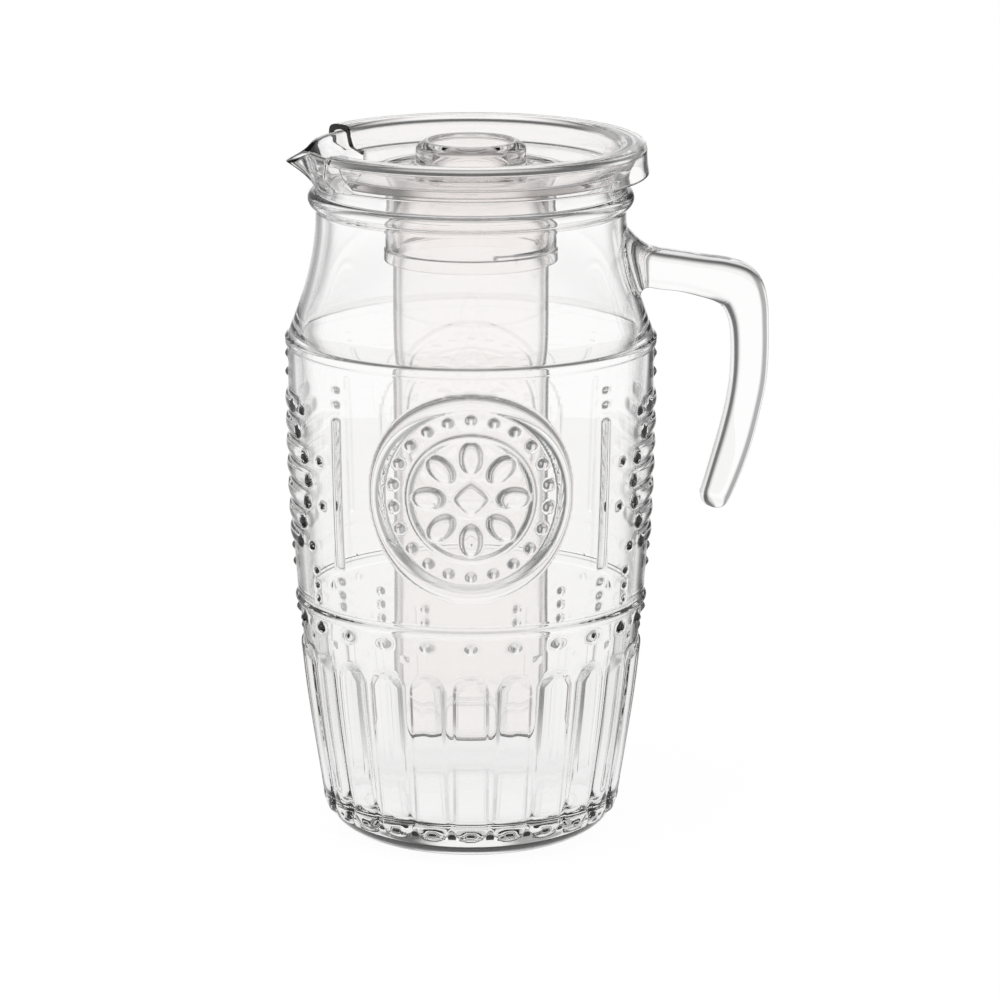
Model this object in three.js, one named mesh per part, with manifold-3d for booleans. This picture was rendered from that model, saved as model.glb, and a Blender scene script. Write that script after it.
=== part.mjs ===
// Pressed glass water jug with a hooked handle, a lift-off plastic lid and an ice tube that hangs in it.
// Millimetres, +Z up. The origin is on the jug's axis, on its base. The spout points to -X, the handle
// to +X and the front medallion to -Y. Azimuths run from the front (-Y) towards the handle (+X).
import * as THREE from 'three';
import { mergeVertices } from 'three/addons/utils/BufferGeometryUtils.js';
import loadManifold from 'manifold-3d';

const wasm = await loadManifold();
wasm.setup();

// Jug body, heights stacked from the base up
const heelHeight = 15;
const flutedHeight = 75.2;
const barrelHeight = 97;
const shoulderHeight = 42.8;
const neckHeight = 7;
const rimHeight = 18.6;

// Jug body, radii and walls
const baseRadius = 35;
const heelRadius = 54.2;
const shoulderRadius = 66.8;
const neckRadius = 56.5;
const barrelFullness = 2.35;
const shoulderFullness = 1.78;
const glassWall = 3.7;
const floorThickness = 10;
const innerHeelRadius = 12;

// Rings turned on the outside of the jug
const lowerRingHeight = 2.4;
const lowerRingProud = 0.7;
const shoulderRingHeight = 3.8;
const shoulderRingProud = 0.6;
const beadHeight = 6;
const beadProud = 2.7;

// Pouring rim, flared above the bead, and the pinched spout drawn from it
const rimFlare = 3.4;
const flareFullness = 1.3;
const rimThickness = 2.6;
const rimRound = 1.2;
const spoutProjection = 7.9;
const spoutHalfWidth = 5.6;
const spoutFullness = 1.6;
const spoutDip = 5.2;
const dipHalfWidth = 7.5;

// Flutes scooped round the lower body
const fluteCount = 24;
const fluteWidth = 12.4;
const fluteDepth = 1.6;
const fluteFoot = 9;
const fluteTopDrop = 16.6;

// Medallion pressed on the front and on the back
const medallionAboveRing = 49.8;
const medallionRingRadius = 33.2;
const medallionRingWidth = 6.2;
const medallionRingProud = 1.7;
const petalCount = 8;
const petalOrbit = 15.2;
const petalLength = 12.4;
const petalWidth = 8.2;
const petalProud = 1.6;
const diamondReach = 6;
const diamondProud = 1.4;

// Stacked ribs under the spout and under the handle
const ribCount = 7;
const ribPitch = 8.2;
const ribWidth = 6.4;
const ribProud = 1.9;
const ribStackRadius = 34.5;

// Handle
const handleRootDrop = 19.4;
const handleReach = 34.6;
const handleCornerRadius = 16;
const handleStraight = 10;
const handleBendRadius = 148;
const handleBendLength = 59.6;
const handleRootWidth = 17;
const handleGripWidth = 13.8;
const handleTipWidth = 10.5;
const handleThickness = 15;
const handleTipThickness = 12;
const handleFlare = 4.5;
const handleFlareLength = 6;
const weldGap = 0.3;

// Ice tube
const tubeRadius = 28.3;
const tubeWall = 1.6;
const tubeCornerRadius = 4;
const tubeFloorGap = 28;
const lugCount = 2;
const lugSpan = 100;
const lugStart = 15;
const lugProud = 1.1;
const lugHeight = 2.4;
const runningClearance = 0.3;

// Seal ring between the tube's mouth and the lid
const sealThickness = 2;
const sealSeatGap = 0.2;

// Lid
const lidSeatGap = 0.3;
const crestThickness = 1.9;
const crestRound = 4;
const recessDepth = 9.4;
const recessDraft = 1.8;
const panelThickness = 2.2;
const lidWall = 1.7;
const wallClearance = 0.5;
const skirtClearance = 2;
const skirtWall = 1.9;
const skirtDraft = 0.8;
const skirtHeight = 13;
const knobRadius = 20;
const knobWall = 3.4;
const knobHeight = 9.1;
const collarDepth = 32;
const collarWall = 1.3;
const hoopHeight = 5;
const hoopProud = 0.6;
const ledgeSpan = 70;
const ledgeHeight = 2.4;
const ledgeAboveMouth = 1.2;
const slotAngle = 33;
const slotFootAngle = 43;
const slotBendDrop = 4.8;
const slotOverrun = 5;
const pourGapWidth = 13.5;

// Facets
const jugSides = 36;
const spoutSplit = 3;
const spoutSpread = 30;
const lidSides = 36;
const tubeSides = 36;

// Heights and radii that follow from the driving sizes
const lowerRingZ = heelHeight + flutedHeight;
const shoulderZ = lowerRingZ + barrelHeight;
const neckZ = shoulderZ + shoulderHeight;
const beadZ = neckZ + neckHeight;
const rimZ = beadZ + rimHeight;
const spoutFootZ = beadZ + beadHeight / 2;
const neckBore = neckRadius - glassWall;
const medallionZ = lowerRingZ + medallionAboveRing;
const ceilingZ = rimZ + lidSeatGap;
const crestZ = ceilingZ + crestThickness;
const panelTopZ = crestZ - recessDepth;
const panelBottomZ = panelTopZ - panelThickness;
const collarBore = tubeRadius + lugProud + runningClearance;
const collarRadius = collarBore + collarWall;
const collarMouthZ = panelBottomZ - collarDepth;
const ledgeZ = collarMouthZ + ledgeAboveMouth;
const lugZ = ledgeZ + ledgeHeight + runningClearance;
const sealBottomZ = panelBottomZ - sealThickness;
const tubeTopZ = sealBottomZ - sealSeatGap;
const tubeBottomZ = floorThickness + tubeFloorGap;
const panelRadius = flareBore(panelBottomZ) - wallClearance;
const recessRadius = panelRadius - lidWall;
const skirtBore = neckRadius + rimFlare + skirtClearance;
const skirtRadius = skirtBore + skirtWall;

const degree = Math.PI / 180;
const quarterTurn = Math.PI / 2;

function point(r, z) {
  return new THREE.Vector2(r, z);
}

// Points on an elliptical arc in the (radius, height) plane, angles in degrees from +radius.
function arc(centre, reach, rise, from, to, steps) {
  const points = [];
  for (let i = 0; i <= steps; i += 1) {
    const angle = (from + (to - from) * i / steps) * degree;
    points.push(point(centre.x + reach * Math.cos(angle), centre.y + rise * Math.sin(angle)));
  }
  return points;
}

// Outer radius of the plain glass wall at a height: elliptical heel, barrel, falling shoulder, neck.
function wallRadius(z) {
  if (z < heelHeight) {
    const rise = 1 - Math.max(z, 0) / heelHeight;
    return baseRadius + (heelRadius - baseRadius) * Math.sqrt(1 - rise * rise);
  }
  if (z < shoulderZ) {
    const left = (shoulderZ - z) / (shoulderZ - heelHeight);
    return shoulderRadius - (shoulderRadius - heelRadius) * left ** barrelFullness;
  }
  const left = Math.max(neckZ - z, 0) / shoulderHeight;
  return neckRadius + (shoulderRadius - neckRadius) * left ** shoulderFullness;
}

// Points up the wall, spaced evenly in height, each moved in by an inset.
function wallPoints(from, to, steps, inset) {
  const points = [];
  for (let i = 0; i <= steps; i += 1) {
    const z = from + (to - from) * i / steps;
    points.push(point(wallRadius(z) - inset, z));
  }
  return points;
}

// A raised ring with sloping sides on the wall.
function ringPoints(z, height, proud) {
  const half = height / 2;
  const crown = half / 2;
  return [
    point(wallRadius(z - half), z - half),
    point(wallRadius(z) + proud, z - crown),
    point(wallRadius(z) + proud, z + crown),
    point(wallRadius(z + half), z + half),
  ];
}

// Outer outline of the jug from the base flat to the top of the neck bead.
function bodyOutline() {
  const lowerHalf = lowerRingHeight / 2;
  const upperHalf = shoulderRingHeight / 2;
  const shoulderRingZ = shoulderZ - upperHalf;
  const heel = arc(point(baseRadius, heelHeight), heelRadius - baseRadius, heelHeight, -90, 0, 4);
  const flutedWall = wallPoints(heelHeight, lowerRingZ - lowerHalf, 3, 0).slice(1, -1);
  const barrel = wallPoints(lowerRingZ + lowerHalf, shoulderRingZ - upperHalf, 3, 0).slice(1, -1);
  const shoulder = wallPoints(shoulderZ, neckZ, 4, 0).slice(1);
  return [
    ...heel,
    ...flutedWall,
    ...ringPoints(lowerRingZ, lowerRingHeight, lowerRingProud),
    ...barrel,
    ...ringPoints(shoulderRingZ, shoulderRingHeight, shoulderRingProud),
    ...shoulder,
    ...arc(point(neckRadius, beadZ), beadProud, beadHeight / 2, -90, 90, 4),
  ];
}

// Lathe about +Z; the profile runs anticlockwise in the (radius, height) plane.
function turned(points, sides) {
  return new THREE.LatheGeometry(points, sides).rotateX(quarterTurn);
}

function closedProfile(points) {
  return [...points, points[0].clone()];
}

// A closed mesh as a solid: shared corners merged, flat triangles at the axis dropped.
function solid(geometry) {
  const bare = geometry.clone();
  bare.deleteAttribute('normal');
  bare.deleteAttribute('uv');
  const merged = mergeVertices(bare, 1e-4);
  const corners = merged.index.array;
  const kept = [];
  for (let i = 0; i < corners.length; i += 3) {
    const [a, b, c] = corners.slice(i, i + 3);
    if (a !== b && b !== c && c !== a) kept.push(a, b, c);
  }
  return new wasm.Manifold(new wasm.Mesh({
    numProp: 3,
    vertProperties: new Float32Array(merged.attributes.position.array),
    triVerts: new Uint32Array(kept),
  }));
}

function joined(first, others) {
  return others.reduce((sum, other) => sum.add(other), first);
}

function geometryOf(body) {
  const mesh = body.getMesh();
  const geometry = new THREE.BufferGeometry();
  geometry.setAttribute('position', new THREE.BufferAttribute(mesh.vertProperties, 3));
  geometry.setIndex(new THREE.BufferAttribute(mesh.triVerts, 1));
  geometry.computeVertexNormals();
  return geometry;
}

function piece(name, body, finish) {
  const mesh = new THREE.Mesh(geometryOf(body), new THREE.MeshStandardMaterial(finish));
  mesh.name = name;
  return mesh;
}

// Share of the way from the top of the neck bead to the rim.
function rimShare(z) {
  return Math.max(z - spoutFootZ, 0) / (rimZ - spoutFootZ);
}

// Outside and inside of the flared rim: a power curve whose wall thins towards the lip.
function flareRadius(z) {
  return neckRadius + rimFlare * rimShare(z) ** flareFullness;
}

function flareBore(z) {
  return flareRadius(z) - glassWall + (glassWall - rimThickness) * rimShare(z);
}

// Turns from the spout at which the wall has corners, closer together at the spout.
function shellTurns() {
  const turns = [];
  const step = 360 / jugSides;
  for (let i = 0; i < jugSides; i += 1) {
    const turn = i * step - 180;
    const pieces = Math.abs(turn + step / 2) < spoutSpread ? spoutSplit : 1;
    for (let j = 0; j < pieces; j += 1) {
      turns.push((turn + j * step / pieces) * degree);
    }
  }
  return turns;
}

// One level of the wall. Near the spout the rim is drawn out and dips by bell curves of the width across.
function shellRing(corner) {
  const share = rimShare(corner.y);
  return shellTurns().map((turn) => {
    const across = Math.cos(turn) > 0 ? corner.x * Math.sin(turn) : corner.x;
    const draw = spoutProjection * Math.exp(-((across / spoutHalfWidth) ** 2)) * share ** spoutFullness;
    const dip = spoutDip * Math.exp(-((across / dipHalfWidth) ** 2)) * share;
    const r = corner.x + draw;
    return new THREE.Vector3(-r * Math.cos(turn), r * Math.sin(turn), corner.y - dip);
  });
}

// Wraps a flat ornament (x along the wall, y up, z out of the wall) onto the jug.
function onWall(geometry, azimuth, centreZ) {
  const position = geometry.attributes.position;
  for (let i = 0; i < position.count; i += 1) {
    const angle = azimuth * degree + position.getX(i) / wallRadius(centreZ);
    const z = centreZ + position.getY(i);
    const r = wallRadius(z) + position.getZ(i);
    position.setXYZ(i, r * Math.sin(angle), -r * Math.cos(angle), z);
  }
  return geometry;
}

function shell() {
  const lipZ = rimZ - rimRound;
  const lipRadius = flareRadius(lipZ);
  const lipBore = flareBore(lipZ);
  const lipOutside = arc(point(lipRadius - rimRound, lipZ), rimRound, rimRound, 0, 90, 2);
  const lipInside = arc(point(lipBore + rimRound, lipZ), rimRound, rimRound, 90, 180, 2);
  const flareLevels = [0.1, 0.4, 0.7].map((share) => spoutFootZ + (lipZ - spoutFootZ) * share);
  const outerFlare = flareLevels.map((z) => point(flareRadius(z), z));
  const innerFlare = flareLevels.map((z) => point(flareBore(z), z)).reverse();
  const innerHeelZ = floorThickness + innerHeelRadius;
  const innerFlatRadius = wallRadius(innerHeelZ) - glassWall - innerHeelRadius;
  const insideShoulder = wallPoints(shoulderZ, neckZ, 3, glassWall).reverse();
  const insideBarrel = wallPoints(innerHeelZ, shoulderZ, 4, glassWall).reverse().slice(1, -1);
  const insideHeel = arc(point(innerFlatRadius, innerHeelZ), innerHeelRadius, innerHeelRadius, 0, -90, 3);
  const profile = [
    ...bodyOutline(),
    ...outerFlare,
    ...lipOutside,
    ...lipInside,
    ...innerFlare,
    ...insideShoulder,
    ...insideBarrel,
    ...insideHeel,
  ];
  return solid(loft(profile.map(shellRing)));
}

// One flute cutter: a capsule laid along the wall so that it scoops the wanted width and depth.
function flute(azimuth) {
  const half = fluteWidth / 2;
  const radius = (half * half + fluteDepth * fluteDepth) / (2 * fluteDepth);
  const low = fluteFoot + half;
  const high = lowerRingZ - fluteTopDrop - half;
  const lean = Math.atan2(wallRadius(high) - wallRadius(low), high - low);
  const length = Math.hypot(wallRadius(high) - wallRadius(low), high - low);
  const lift = radius - fluteDepth;
  const cutter = new THREE.CapsuleGeometry(radius, length, 4, 18, 1);
  cutter.rotateX(quarterTurn);
  cutter.rotateY(lean);
  cutter.translate((wallRadius(high) + wallRadius(low)) / 2 + lift * Math.cos(lean), 0, 0);
  cutter.translate(0, 0, (high + low) / 2 - lift * Math.sin(lean));
  cutter.rotateZ(azimuth * degree - quarterTurn);
  return solid(cutter);
}

function medallion(azimuth) {
  const outerRing = new THREE.TorusGeometry(medallionRingRadius, medallionRingWidth / 2, 6, 28);
  outerRing.scale(1, 1, medallionRingProud / (medallionRingWidth / 2));
  const diamond = new THREE.OctahedronGeometry(1).scale(diamondReach, diamondReach, diamondProud);
  const ornaments = [outerRing, diamond];
  for (let i = 0; i < petalCount; i += 1) {
    const petal = new THREE.SphereGeometry(1, 6, 4).rotateX(quarterTurn);
    petal.scale(petalLength / 2, petalWidth / 2, petalProud);
    petal.translate(petalOrbit, 0, 0);
    petal.rotateZ(2 * Math.PI * i / petalCount);
    ornaments.push(petal);
  }
  return ornaments.map((ornament) => solid(onWall(ornament, azimuth, medallionZ)));
}

function ribStack(azimuth) {
  const ribs = [];
  for (let i = 0; i < ribCount; i += 1) {
    const height = (i - (ribCount - 1) / 2) * ribPitch;
    const halfLength = Math.sqrt(Math.max(ribStackRadius ** 2 - height ** 2, ribWidth ** 2));
    const rib = new THREE.CapsuleGeometry(ribWidth / 2, 2 * halfLength - ribWidth, 2, 6, 4);
    rib.scale(1, 1, ribProud / (ribWidth / 2)).rotateZ(quarterTurn);
    ribs.push(solid(onWall(rib, azimuth, medallionZ + height)));
  }
  return ribs;
}

function jugBody() {
  const flutes = [];
  for (let i = 0; i < fluteCount; i += 1) {
    flutes.push(flute(360 * i / fluteCount));
  }
  const ornaments = [...medallion(0), ...medallion(180), ...ribStack(90), ...ribStack(-90)];
  const fluted = flutes.reduce((body, cutter) => body.subtract(cutter), shell());
  return joined(fluted, ornaments);
}

// Closed loft through rings of equally many points, capped with a fan at both ends.
function loft(rings) {
  const count = rings[0].length;
  const corners = [];
  const faces = [];
  rings.flat().forEach((corner) => corners.push(corner.x, corner.y, corner.z));
  for (let i = 0; i + 1 < rings.length; i += 1) {
    for (let j = 0; j < count; j += 1) {
      const a = i * count + j;
      const b = i * count + (j + 1) % count;
      faces.push(a, b + count, b, a, a + count, b + count);
    }
  }
  const last = (rings.length - 1) * count;
  for (let j = 1; j + 1 < count; j += 1) {
    faces.push(0, j, j + 1);
    faces.push(last, last + j + 1, last + j);
  }
  const geometry = new THREE.BufferGeometry();
  geometry.setAttribute('position', new THREE.Float32BufferAttribute(corners, 3));
  geometry.setIndex(faces);
  return geometry;
}

// Handle: a level arm from the shoulder, a round corner, a short drop and a grip that bends in to the jug.
// Each station has a place, a heading in the XZ plane and half sizes across the arm.
function handleStations() {
  const rootZ = neckZ - handleRootDrop;
  const rootX = wallRadius(rootZ);
  const gripX = shoulderRadius + handleReach;
  const cornerX = gripX - handleCornerRadius;
  const cornerZ = rootZ - handleCornerRadius;
  const stations = [];
  const armSteps = 6;
  for (let i = 0; i <= armSteps; i += 1) {
    const x = rootX - glassWall + (cornerX - rootX + glassWall) * (i / armSteps);
    const out = Math.max(x - rootX, 0);
    const flare = handleFlare * Math.exp(-out * out / (handleFlareLength * handleFlareLength));
    const narrow = (handleRootWidth - handleGripWidth) * i / armSteps;
    stations.push({ x, z: rootZ, heading: 0, width: handleRootWidth - narrow + 2 * flare,
      thickness: handleThickness + 2 * flare });
  }
  const cornerSteps = 5;
  for (let i = 1; i <= cornerSteps; i += 1) {
    const heading = quarterTurn * i / cornerSteps;
    stations.push({ x: cornerX + handleCornerRadius * Math.sin(heading),
      z: cornerZ + handleCornerRadius * Math.cos(heading),
      heading, width: handleGripWidth, thickness: handleThickness });
  }
  const gripSteps = 8;
  for (let i = 0; i <= gripSteps; i += 1) {
    const share = i / gripSteps;
    const bend = handleBendLength * share / handleBendRadius;
    stations.push({ x: gripX - handleBendRadius * (1 - Math.cos(bend)),
      z: cornerZ - handleStraight - handleBendRadius * Math.sin(bend),
      heading: quarterTurn + bend,
      width: handleGripWidth + (handleTipWidth - handleGripWidth) * share,
      thickness: handleThickness + (handleTipThickness - handleThickness) * share });
  }
  const end = stations[stations.length - 1];
  const tipSteps = 3;
  for (let i = 1; i <= tipSteps; i += 1) {
    const angle = 80 * degree * i / tipSteps;
    const out = handleTipWidth / 2 * Math.sin(angle);
    stations.push({ x: end.x + out * Math.cos(end.heading), z: end.z - out * Math.sin(end.heading),
      heading: end.heading, width: handleTipWidth * Math.cos(angle),
      thickness: handleTipThickness * Math.cos(angle) });
  }
  return stations;
}

function stationRing(station) {
  const sides = 12;
  const ring = [];
  for (let j = 0; j < sides; j += 1) {
    const angle = 2 * Math.PI * j / sides;
    const across = station.width / 2 * Math.cos(angle);
    const aside = station.thickness / 2 * Math.sin(angle);
    ring.push(new THREE.Vector3(station.x + across * Math.sin(station.heading), aside,
      station.z + across * Math.cos(station.heading)));
  }
  return ring;
}

function handle() {
  const arm = solid(loft(handleStations().map(stationRing)));
  const keepOut = bodyOutline().map((corner) => point(corner.x + weldGap, corner.y));
  const body = solid(turned([point(0, 0), ...keepOut, point(0, spoutFootZ)], jugSides));
  return arm.subtract(body);
}

// Part of a ring between two azimuths, standing on a height.
function ringSector(bore, radius, from, span, z, height) {
  const start = from * degree - quarterTurn;
  const end = start + span * degree;
  const outline = new THREE.Shape();
  outline.absarc(0, 0, radius, start, end, false);
  outline.absarc(0, 0, bore, end, start, true);
  const settings = { depth: height, bevelEnabled: false, curveSegments: 12 };
  const sector = new THREE.ExtrudeGeometry(outline, settings);
  return solid(sector.translate(0, 0, z));
}

function iceTube() {
  const bore = tubeRadius - tubeWall;
  const inside = tubeCornerRadius - tubeWall;
  const profile = [
    point(0, tubeBottomZ),
    ...arc(point(tubeRadius - tubeCornerRadius, tubeBottomZ + tubeCornerRadius),
      tubeCornerRadius, tubeCornerRadius, -90, 0, 4),
    point(tubeRadius, tubeTopZ),
    point(bore, tubeTopZ),
    ...arc(point(bore - inside, tubeBottomZ + tubeCornerRadius), inside, inside, 0, -90, 4),
    point(0, tubeBottomZ + tubeWall),
  ];
  const lugs = [];
  for (let i = 0; i < lugCount; i += 1) {
    const from = lugStart + 360 * i / lugCount;
    lugs.push(ringSector(tubeRadius - tubeWall / 2, tubeRadius + lugProud, from, lugSpan, lugZ, lugHeight));
  }
  return joined(solid(turned(profile, tubeSides)), lugs);
}

function tubeSeal() {
  const bore = tubeRadius - tubeWall;
  const radius = collarBore - runningClearance;
  return solid(turned(closedProfile([
    point(bore, sealBottomZ),
    point(radius, sealBottomZ),
    point(radius, panelBottomZ),
    point(bore, panelBottomZ),
  ]), tubeSides));
}

// Turned lid: panel with a collar below and a finger ring above, and a hollow crest that folds over the rim.
function lidBlank() {
  const springZ = crestZ - crestRound;
  const skirtBottomZ = crestZ - skirtHeight;
  const hoopRadius = collarRadius + hoopProud;
  const knobRound = knobWall / 2;
  const knobTopZ = panelTopZ + knobHeight;
  const crestBore = recessRadius + recessDraft;
  const channelBore = crestBore + lidWall;
  const channelRound = ceilingZ - springZ;
  const crestReach = (skirtRadius - crestBore) / 2;
  const crest = arc(point(crestBore + crestReach, springZ), crestReach, crestRound, 0, 180, 8);
  const knobTop = arc(point(knobRadius - knobRound, knobTopZ - knobRound), knobRound, knobRound, 0, 180, 4);
  return solid(turned([
    point(0, panelBottomZ),
    point(collarBore, panelBottomZ),
    point(collarBore, collarMouthZ),
    point(hoopRadius, collarMouthZ),
    point(hoopRadius, collarMouthZ + hoopHeight - hoopProud),
    point(collarRadius, collarMouthZ + hoopHeight),
    point(collarRadius, panelBottomZ),
    point(panelRadius, panelBottomZ),
    point(channelBore, springZ),
    point(channelBore + channelRound, ceilingZ),
    point(skirtBore - channelRound, ceilingZ),
    point(skirtBore, springZ),
    point(skirtBore + skirtDraft, skirtBottomZ),
    point(skirtRadius + skirtDraft, skirtBottomZ),
    ...crest,
    point(recessRadius, panelTopZ),
    point(knobRadius, panelTopZ),
    ...knobTop,
    point(knobRadius - knobWall, panelTopZ),
    point(0, panelTopZ),
  ], lidSides));
}

// The slot that straddles the spout: upright ends above, wider below, and a gap in the panel to pour through.
function spoutSlot() {
  const near = neckBore - pourGapWidth;
  const far = skirtRadius + skirtDraft + slotOverrun;
  const level = (z, angle) => {
    const slope = Math.tan(angle * degree);
    return [
      new THREE.Vector3(-near, -near * slope, z),
      new THREE.Vector3(-far, -far * slope, z),
      new THREE.Vector3(-far, far * slope, z),
      new THREE.Vector3(-near, near * slope, z),
    ];
  };
  return solid(loft([
    level(crestZ - skirtHeight - slotOverrun, slotFootAngle),
    level(panelBottomZ, slotFootAngle),
    level(crestZ - slotBendDrop, slotAngle),
    level(crestZ + slotOverrun, slotAngle),
  ]));
}

function lid() {
  const ledges = [];
  const spare = (lugSpan - ledgeSpan) / 2;
  for (let i = 0; i < lugCount; i += 1) {
    const from = lugStart + spare + 360 * i / lugCount;
    const bore = tubeRadius + runningClearance;
    ledges.push(ringSector(bore, collarBore + collarWall / 2, from, ledgeSpan, ledgeZ, ledgeHeight));
  }
  return joined(lidBlank().subtract(spoutSlot()), ledges);
}

const glass = { color: 0xf2f5f3, roughness: 0.05, metalness: 0, transparent: true, opacity: 0.35 };
const clearPlastic = { color: 0xf1eae6, roughness: 0.1, metalness: 0, transparent: true, opacity: 0.4 };
const silicone = { color: 0xe9e9e6, roughness: 0.4, metalness: 0, transparent: true, opacity: 0.7 };

const carafe = new THREE.Group();
carafe.add(piece('jug_body', jugBody(), glass));
carafe.add(piece('handle', handle(), glass));
carafe.add(piece('lid', lid(), clearPlastic));
carafe.add(piece('ice_tube', iceTube(), clearPlastic));
carafe.add(piece('tube_seal', tubeSeal(), silicone));

export default carafe;
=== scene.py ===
import math

import bpy
import numpy as np
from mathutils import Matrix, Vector


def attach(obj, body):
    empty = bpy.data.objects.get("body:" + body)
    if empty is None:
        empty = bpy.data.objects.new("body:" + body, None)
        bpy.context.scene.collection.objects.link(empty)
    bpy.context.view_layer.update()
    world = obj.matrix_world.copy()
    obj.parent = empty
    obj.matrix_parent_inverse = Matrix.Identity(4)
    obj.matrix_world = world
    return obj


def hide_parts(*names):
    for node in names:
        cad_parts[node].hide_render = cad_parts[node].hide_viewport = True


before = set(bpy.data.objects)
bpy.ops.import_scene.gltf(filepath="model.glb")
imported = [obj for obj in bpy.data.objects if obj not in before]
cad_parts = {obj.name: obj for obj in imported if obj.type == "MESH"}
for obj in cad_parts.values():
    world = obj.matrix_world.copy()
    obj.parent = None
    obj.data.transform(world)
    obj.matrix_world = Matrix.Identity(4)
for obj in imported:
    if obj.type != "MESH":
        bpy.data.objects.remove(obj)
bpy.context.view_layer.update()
print("frame loaded:", ", ".join(sorted(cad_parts)))

# Shapes are worked out in millimetres and written to the meshes in metres.
# Azimuths run from the front (-Y) towards the handle (+X), so the spout is at -90 degrees.
mm = 0.001

photoView = {
    "place": (0.0, -1.93298, 0.58775),  # metres
    "tiltDown": 13.4915,                # degrees
    "lens": 195.11,                     # millimetres, on a 36 mm sensor
    "shiftRight": 0.029,                # share of the frame's width
}


def placeCamera(view):
    lens = bpy.data.cameras.new("photoCamera")
    lens.sensor_width = 36.0
    lens.lens = view["lens"]
    lens.shift_x = view["shiftRight"]
    camera = bpy.data.objects.new("photoCamera", lens)
    camera.location = view["place"]
    camera.rotation_euler = (math.radians(90.0 - view["tiltDown"]), 0.0, 0.0)
    bpy.context.scene.collection.objects.link(camera)
    bpy.context.scene.camera = camera


# Mesh building

def gridFaces(rows, columns, first=0):
    # quads of a grid whose columns close on themselves;
    # they face out when rows climb and columns run anticlockwise
    row = np.arange(rows - 1)[:, None] * columns
    here = np.arange(columns)[None, :]
    after = (here + 1) % columns
    quads = np.stack([row + here, row + after, row + columns + after, row + columns + here], axis=-1)
    return quads.reshape(-1, 4) + first


def fanFaces(ring, centre, facesUp):
    # triangles from a ring to the one point in its middle
    after = np.roll(ring, -1)
    middle = np.full(len(ring), centre)
    corners = [ring, after, middle] if facesUp else [after, ring, middle]
    return np.stack(corners, axis=-1)


def sewFaces(lower, lowerAzimuth, upper, upperAzimuth):
    # triangles between two rings with different columns, taken in the order of their azimuths
    lowerNext = np.append(lowerAzimuth[1:], lowerAzimuth[0] + 2 * np.pi)
    upperNext = np.append(upperAzimuth[1:], upperAzimuth[0] + 2 * np.pi)
    opposite = upper[np.searchsorted(upperNext, lowerNext, side="right") % len(upper)]
    below = lower[np.searchsorted(lowerNext, upperNext, side="left") % len(lower)]
    return np.vstack([
        np.stack([lower, np.roll(lower, -1), opposite], axis=-1),
        np.stack([below, np.roll(upper, -1), upper], axis=-1),
    ])


def meshPiece(name, points, faces, sharpAngle=40.0):
    mesh = bpy.data.meshes.new(name)
    loops = np.concatenate([part.ravel() for part in faces])
    sizes = np.concatenate([np.full(len(part), part.shape[1]) for part in faces])
    mesh.vertices.add(len(points))
    mesh.vertices.foreach_set("co", (points * mm).ravel())
    mesh.loops.add(len(loops))
    mesh.loops.foreach_set("vertex_index", loops)
    mesh.polygons.add(len(sizes))
    mesh.polygons.foreach_set("loop_start", np.cumsum(sizes) - sizes)
    mesh.polygons.foreach_set("use_smooth", np.ones(len(sizes), bool))
    mesh.update(calc_edges=True)
    mesh.validate()
    mesh.set_sharp_from_angle(angle=math.radians(sharpAngle))
    piece = bpy.data.objects.new(name, mesh)
    bpy.context.scene.collection.objects.link(piece)
    return piece


def turnedPoints(radius, height, azimuth):
    # a surface of revolution: radius and height by row (or by row and column), azimuth by column
    x = radius * np.sin(azimuth)
    y = -radius * np.cos(azimuth)
    z = height + np.zeros_like(x)
    return np.stack([x, y, z], axis=-1)


def squared(wave, squareness):
    # a sine or cosine bent so that an ellipse of squareness 2 turns into a fuller superellipse
    return np.sign(wave) * np.abs(wave) ** (2.0 / squareness)


def arcRows(centre, reach, rise, start, end, steps, squareness=2.0):
    # points on a superellipse about a centre in the (radius, height) plane, angles in degrees
    angle = np.radians(np.linspace(start, end, steps + 1))
    across = centre[0] + reach * squared(np.cos(angle), squareness)
    up = centre[1] + rise * squared(np.sin(angle), squareness)
    return np.stack([across, up], axis=-1)


def roundedProfile(corners, steps=5):
    # a profile of straight runs whose corners (radius, height, rounding) become quadratic curves
    corners = np.asarray(corners, float)
    rows = [corners[0, :2]]
    for before, corner, after in zip(corners[:-2], corners[1:-1], corners[2:]):
        back = before[:2] - corner[:2]
        ahead = after[:2] - corner[:2]
        cut = min(corner[2], 0.49 * np.hypot(*back), 0.49 * np.hypot(*ahead))
        start = corner[:2] + back / np.hypot(*back) * cut
        end = corner[:2] + ahead / np.hypot(*ahead) * cut
        t = np.linspace(0.0, 1.0, steps + 1)[:, None]
        rows.append((1 - t) ** 2 * start + 2 * t * (1 - t) * corner[:2] + t ** 2 * end)
    rows.append(corners[-1, :2])
    return np.vstack(rows)


def turnedPiece(name, profile, columns, relief=None, sharpAngle=40.0):
    # lathe of a profile that starts and ends on the axis;
    # relief(azimuth, height, radius) moves its points outwards
    azimuth = np.linspace(0.0, 2 * np.pi, columns, endpoint=False)
    rows = profile[1:-1]
    radius = rows[:, :1] + np.zeros(columns)
    if relief is not None:
        radius = radius + relief(azimuth[None, :], rows[:, 1:], rows[:, :1])
    grid = turnedPoints(radius, rows[:, 1:], azimuth).reshape(-1, 3)
    poles = np.array([[0.0, 0.0, profile[0, 1]], [0.0, 0.0, profile[-1, 1]]])
    points = np.vstack([grid, poles])
    count = len(rows) * columns
    ring = np.arange(columns)
    faces = [
        gridFaces(len(rows), columns),
        fanFaces(ring, count, False),
        fanFaces(ring + count - columns, count + 1, True),
    ]
    return meshPiece(name, points, faces, sharpAngle)


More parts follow.
